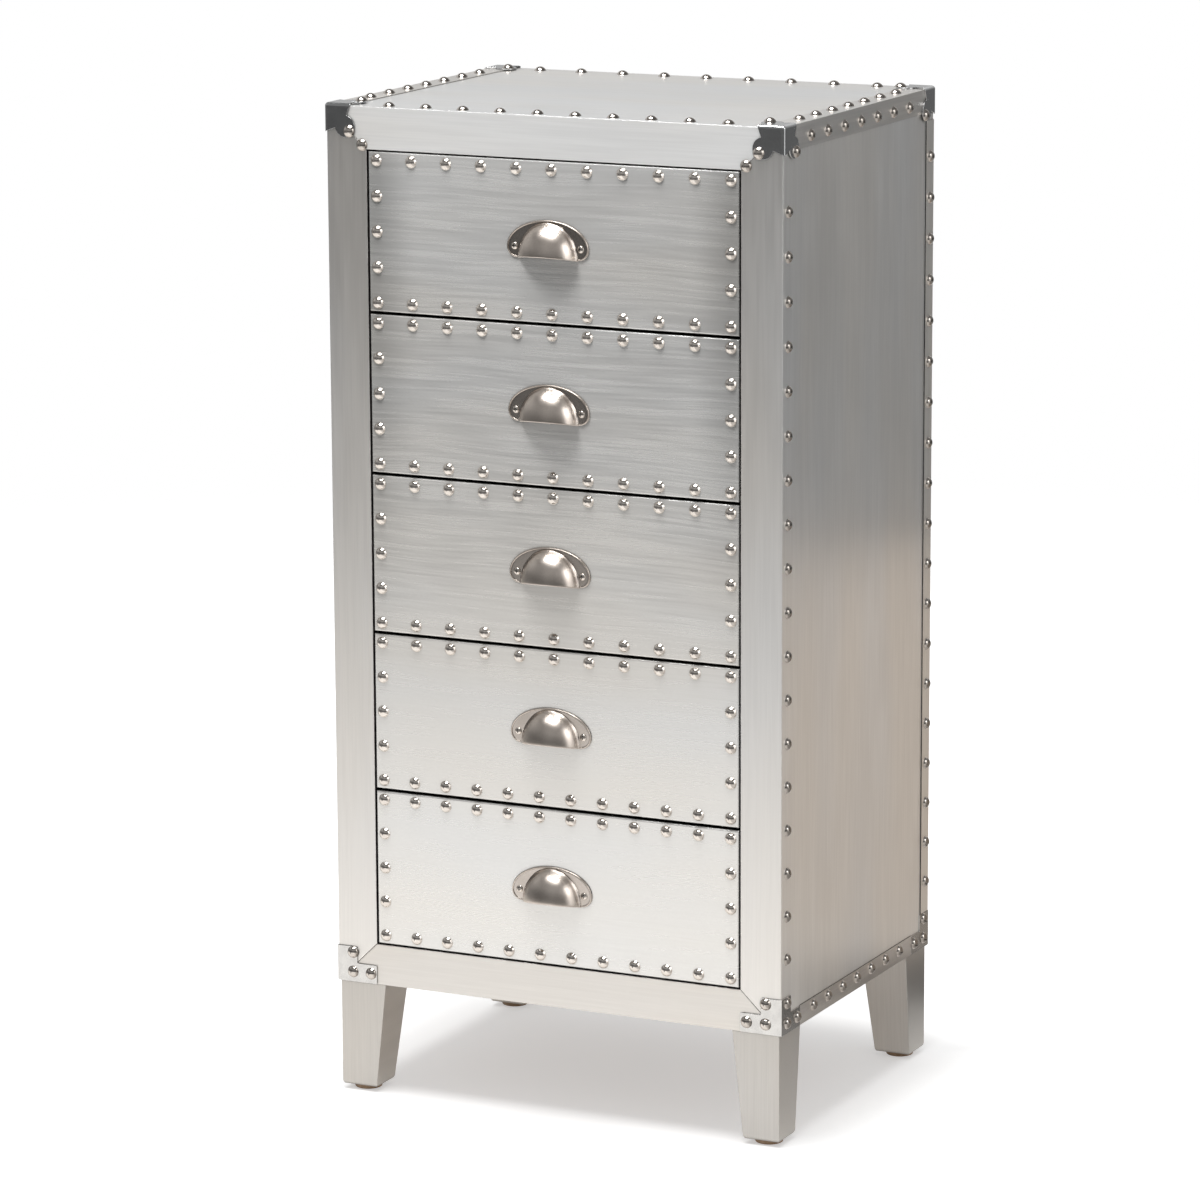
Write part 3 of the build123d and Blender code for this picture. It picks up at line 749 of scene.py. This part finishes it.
def floorFinish():
    material, start = newFinish("floorFinish")
    place = objectPlace(start)
    x, y, _ = place.axes()
    straight, gloss = raysOf(start)
    nearGlow, glossGlow, besideLoss = studio["floorGlow"]
    # the floor glows less near the chest: a painted shadow over the lamps' real one
    spread = start.maths("MAXIMUM", abs(x) / cadBox[1].x, abs(y) / cadBox[1].y)
    away = spread.ramp(*studio["paintedShadowSpread"])
    # right of the chest the floor is darker in gloss only: painted shade in reflections
    beside = x.ramp(*studio["reflectionShadeFrom"])
    level = straight * (nearGlow + away * studio["glowPastPaintedShadow"]) + gloss * (glossGlow - beside * besideLoss)
    # painted warm reflection tint, seen only in gloss
    tint = gloss.blend(white, studio["paintedReflectionTint"])
    paint = (gloss * beside).blend(studio["floorTone"], studio["paintedReflectionShadeTone"])
    glow = start.node("ShaderNodeEmission", {}, {"Color": tint, "Strength": level})
    matt = start.node("ShaderNodeBsdfDiffuse", {}, {"Color": paint})
    lit = start.node("ShaderNodeAddShader", {}, {0: matt, 1: glow})
    clear = start.node("ShaderNodeBsdfTransparent")
    far = start.node("ShaderNodeVectorMath", {"operation": "LENGTH"}, {0: place}, out="Value")
    close(start, start.node("ShaderNodeMixShader", {}, {0: far.ramp(*studio["fade"]), 1: lit, 2: clear}))
    return material


# walls that glow, seen only in gloss: painted reflections, dark with a bright strip
def wallFinish():
    material, start = newFinish("wallFinish")
    east, north, height = objectPlace(start).axes()
    bearing = start.maths("ARCTAN2", east, 0.0 - north) / (2 * pi) + 0.5
    tones = start.node("ShaderNodeValToRGB", {"stops": studio["wallStops"]}, {0: bearing})
    lift = 1.0 + height.ramp(*studio["wallLiftFrom"]) * studio["wallLift"]
    close(start, start.node("ShaderNodeEmission", {}, {"Color": tones, "Strength": lift}))
    return material


# cards that glow, seen only in gloss: painted darker reflections
def cardFinish(name, tone):
    material, start = newFinish(name)
    close(start, start.node("ShaderNodeEmission", {}, {"Color": tone, "Strength": 1.0}))
    return material


def band(name, radius, height, arc, finish, closed=False):
    # an upright band round the chest, angle by height, which only gloss sees
    turn, rise = np.meshgrid(np.radians(arc), np.linspace(0, height, studio["bandSteps"]))
    points = np.stack([radius * np.sin(turn), -radius * np.cos(turn), rise], -1)
    finish.cycles.emission_sampling = "NONE"
    piece = gridPiece(name, points, finish, closed)
    piece.visible_camera = False
    piece.visible_diffuse = False
    piece.visible_shadow = False
    piece.visible_transmission = False
    return piece


# the floor is a square of x by y
reach = np.linspace(-studio["floorHalf"], studio["floorHalf"], studio["floorSteps"])
floorX, floorY = np.meshgrid(reach, reach)
floor = gridPiece("floor", np.stack([floorX, floorY, 0 * floorX], -1), floorFinish())
wholeTurn = np.arange(0.0, 360.0, studio["wallStep"])
walls = band("studioWalls", studio["wallRadius"], studio["wallHeight"], wholeTurn, wallFinish(), closed=True)
for name, look in studio["cards"].items():
    arc = np.linspace(*look["arc"], studio["cardSteps"])
    finish = cardFinish(name + "Finish", look["tone"])
    band(name, look["radius"], look["height"], arc, finish)


def makeSurround():
    world = bpy.data.worlds.new("surround")
    world.use_nodes = True
    world.node_tree.nodes.clear()
    start = Sock(world.node_tree)
    straight, gloss = raysOf(start)
    ambient = studio["ambient"]
    strength = ambient + straight * (1.0 - ambient) + gloss * (studio["ceiling"] - ambient)
    surround = start.node("ShaderNodeBackground", {}, {"Color": white, "Strength": strength})
    start.node("ShaderNodeOutputWorld", {}, {"Surface": surround})
    return world


scene.world = makeSurround()

# Lamps: one over the chest, and keys that light only the sheets they name, softer lower down, so that the
# shadows under the pulls grow fainter from the top drawer to the bottom one
keySpot = dict(place=(-0.30, -0.75, 1.75), aim=(0.0, -0.16, 0.70))
lampLooks = dict(
    overhead=dict(place=(-0.10, -0.45, 2.9), aim=(0.0, 0.0, 0.0), size=(1.5, 1.2), power=62.0),
    highKey=dict(
        keySpot, size=(0.3, 0.3), power=16.5,
        lights=("top_rail_sheet", "drawer_1_front_sheet", "drawer_2_front_sheet"),
    ),
    midKey=dict(keySpot, size=(0.8, 0.8), power=17.0, lights=("drawer_3_front_sheet",)),
    lowKey=dict(
        keySpot, size=(1.5, 1.5), power=16.5,
        lights=("drawer_4_front_sheet", "drawer_5_front_sheet", "bottom_rail_sheet"),
    ),
)


def makeLamp(name, look):
    light = bpy.data.lights.new(name + "Lamp", "AREA")
    light.shape = "RECTANGLE"
    light.size, light.size_y = look["size"]
    light.energy = look["power"]
    lamp = bpy.data.objects.new(name + "Lamp", light)
    back = Vector(look["place"]) - Vector(look["aim"])
    turn = back.to_track_quat("Z", "Y").to_matrix().to_4x4()
    lamp.matrix_world = Matrix.Translation(look["place"]) @ turn
    lamp.visible_camera = False
    if "lights" in look:
        lamp.visible_glossy = False
        lamp.light_linking.receiver_collection = bpy.data.collections.new(name + "Sheets")
        for node in look["lights"]:
            lamp.light_linking.receiver_collection.objects.link(nodes[node])
    scene.collection.objects.link(lamp)


for name, look in lampLooks.items():
    makeLamp(name, look)


# Camera: a long lens, above and to the right, with a very slight roll; angles in degrees
view = dict(
    place=(2.0779, -4.3650, 1.4527),
    bearing=25.79,
    drop=11.77,
    roll=-0.27,
    lens=163.14,
    sensor=36.0,
    farClip=100.0,
)
bearing, drop, roll = (radians(view[name]) for name in ("bearing", "drop", "roll"))
back = Vector((sin(bearing) * cos(drop), -cos(bearing) * cos(drop), sin(drop)))
level = (-back).cross(Vector((0, 0, 1))).normalized()
rise = level.cross(-back)
right = level * cos(roll) + rise * sin(roll)
up = rise * cos(roll) - level * sin(roll)
lens = bpy.data.cameras.new("photoCamera")
lens.lens = view["lens"]
lens.sensor_width = view["sensor"]
lens.clip_end = view["farClip"]
camera = bpy.data.objects.new("photoCamera", lens)
camera.matrix_world = Matrix.Translation(view["place"]) @ Matrix((right, up, back)).transposed().to_4x4()
scene.collection.objects.link(camera)
scene.camera = camera
scene.view_settings.view_transform = "Standard"
print("camera set")
